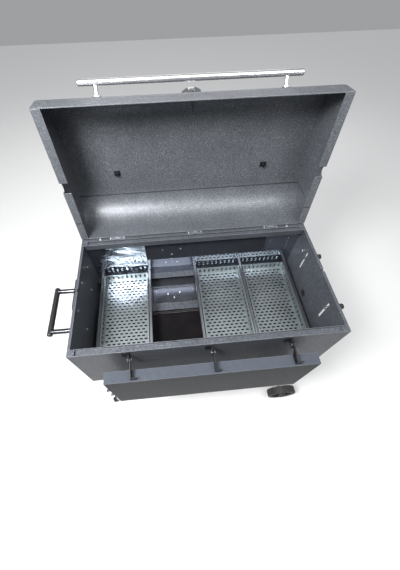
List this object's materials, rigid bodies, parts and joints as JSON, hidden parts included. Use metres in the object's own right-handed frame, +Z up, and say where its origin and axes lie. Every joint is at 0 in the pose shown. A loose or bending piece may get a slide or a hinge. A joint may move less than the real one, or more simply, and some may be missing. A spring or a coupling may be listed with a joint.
{
  "type": "charcoal chest smoker",
  "caption": "Rectangular steel charcoal smoker on a wheeled cart, with a lift-up box lid, lift-out perforated trays, a drop-down front shelf and a lift handle.",
  "frame": {"origin": "middle of the whole smoker's footprint, on the floor, with the lid open and the shelf hanging", "axes": "+X to the cook's right, +Y to the back, +Z up"},
  "size_m": [1.359, 0.9288, 1.5152],
  "materials": {
    "chest_paint": "hammertone",
    "lid_paint": "hammertone",
    "shelf_paint": "hammertone",
    "black_steel": "satin",
    "cart_paint": "hammertone",
    "polished_stainless": "mirror polished",
    "tray_stainless": "bright annealed",
    "ash_pan": "heat-darkened",
    "bright_steel": "zinc plated",
    "chrome": "polished",
    "stainless_bar": "brushed",
    "black_grip": "satin",
    "black_pegs": "satin",
    "wheel_rubber": "moulded",
    "wheel_hub": "moulded",
    "lens": "clear"
  },
  "bodies": {
    "chest": {"ash_pan": "ash_pan", "axle": "bright_steel", "axle_caps": "black_grip", "axle_spacers": "bright_steel", "caster_plates": "cart_paint", "chest_bolts": "bright_steel", "chest_floor": "chest_paint", "chest_hinge_leaves": "chest_paint", "clamp_studs": "bright_steel", "deflector_plates": "polished_stainless", "front_gutter": "chest_paint", "front_wall": "chest_paint", "grate_pegs": "bright_steel", "handle_grip": "black_grip", "handle_posts": "chrome", "hinge_pins": "bright_steel", "left_legs": "cart_paint", "left_wall": "chest_paint", "lid_stops": "chest_paint", "probe_port": "black_grip", "rear_gutter": "chest_paint", "rear_liner": "polished_stainless", "rear_wall": "chest_paint", "right_legs": "cart_paint", "right_wall": "chest_paint", "shelf_pivot_bolts": "bright_steel", "shelf_wall_brackets": "black_steel", "spit_bracket": "black_steel", "stretchers": "cart_paint", "support_angles": "chest_paint", "tray_rails": "polished_stainless"},
    "lid": {"lid_shell": "lid_paint", "lid_end_left": "lid_paint", "lid_end_right": "lid_paint", "lid_handle": "stainless_bar", "lid_handle_posts": "chrome", "lid_handle_bolts": "bright_steel", "thermometer_case": "chrome", "thermometer_lens": "lens", "rack_hooks": "black_steel", "lid_hinge_leaves": "lid_paint"},
    "shelf": {"shelf_panel": "shelf_paint", "shelf_arm_left": "black_steel", "shelf_arm_middle": "black_steel", "shelf_arm_right": "black_steel", "tool_pegs": "black_pegs"},
    "tray_1": {"charcoal_tray_1": "tray_stainless"},
    "tray_2": {"charcoal_tray_2": "tray_stainless"},
    "tray_3": {"charcoal_tray_3": "tray_stainless"},
    "knob_1": {"clamp_knob_1": "black_grip"},
    "knob_2": {"clamp_knob_2": "black_grip"},
    "front_wheel": {"front_tyre": "wheel_rubber", "front_hub": "wheel_hub"},
    "rear_wheel": {"rear_tyre": "wheel_rubber", "rear_hub": "wheel_hub"},
    "front_swivel": {"front_caster_fork": "chrome"},
    "rear_swivel": {"rear_caster_fork": "chrome"},
    "front_caster": {"front_caster_wheel": "wheel_rubber"},
    "rear_caster": {"rear_caster_wheel": "wheel_rubber"}
  },
  "joints": [
    {"name": "lid_hinge", "type": "hinge", "parent": "chest", "child": "lid", "pos_m": [0.0515, 0.20661, 0.92], "axis": [1, 0, 0], "range_deg": [0, 96.5]},
    {"name": "shelf_hinge", "type": "hinge", "parent": "chest", "child": "shelf", "pos_m": [0.0515, -0.39039, 0.888], "axis": [-1, 0, 0], "range_deg": [0, 90]},
    {"name": "knob_1_turn", "type": "hinge", "parent": "chest", "child": "knob_1", "pos_m": [0.6535, 0.07261, 0.82], "axis": [1, 0, 0], "continuous": true},
    {"name": "knob_2_turn", "type": "hinge", "parent": "chest", "child": "knob_2", "pos_m": [0.6535, -0.21239, 0.82], "axis": [1, 0, 0], "continuous": true},
    {"name": "front_wheel_spin", "type": "hinge", "parent": "chest", "child": "front_wheel", "pos_m": [0.5465, -0.41939, 0.084], "axis": [0, 1, 0], "continuous": true},
    {"name": "rear_wheel_spin", "type": "hinge", "parent": "chest", "child": "rear_wheel", "pos_m": [0.5465, 0.25061, 0.084], "axis": [0, 1, 0], "continuous": true},
    {"name": "tray_1_lift", "type": "slide", "parent": "chest", "child": "tray_1", "axis": [0, 0, 1], "range_m": [0, 0.24]},
    {"name": "tray_2_lift", "type": "slide", "parent": "chest", "child": "tray_2", "axis": [0, 0, 1], "range_m": [0, 0.24]},
    {"name": "tray_3_lift", "type": "slide", "parent": "chest", "child": "tray_3", "axis": [0, 0, 1], "range_m": [0, 0.24]},
    {"name": "front_caster_swivel", "type": "hinge", "parent": "chest", "child": "front_swivel", "pos_m": [-0.4435, -0.32939, 0.092], "axis": [0, 0, 1], "continuous": true},
    {"name": "front_caster_spin", "type": "hinge", "parent": "front_swivel", "child": "front_caster", "pos_m": [-0.47914, -0.34755, 0.0375], "axis": [0.454, -0.891, 0], "continuous": true},
    {"name": "rear_caster_swivel", "type": "hinge", "parent": "chest", "child": "rear_swivel", "pos_m": [-0.4435, 0.16061, 0.092], "axis": [0, 0, 1], "continuous": true},
    {"name": "rear_caster_spin", "type": "hinge", "parent": "rear_swivel", "child": "rear_caster", "pos_m": [-0.47914, 0.14245, 0.0375], "axis": [0.454, -0.891, 0], "continuous": true}
  ]
}
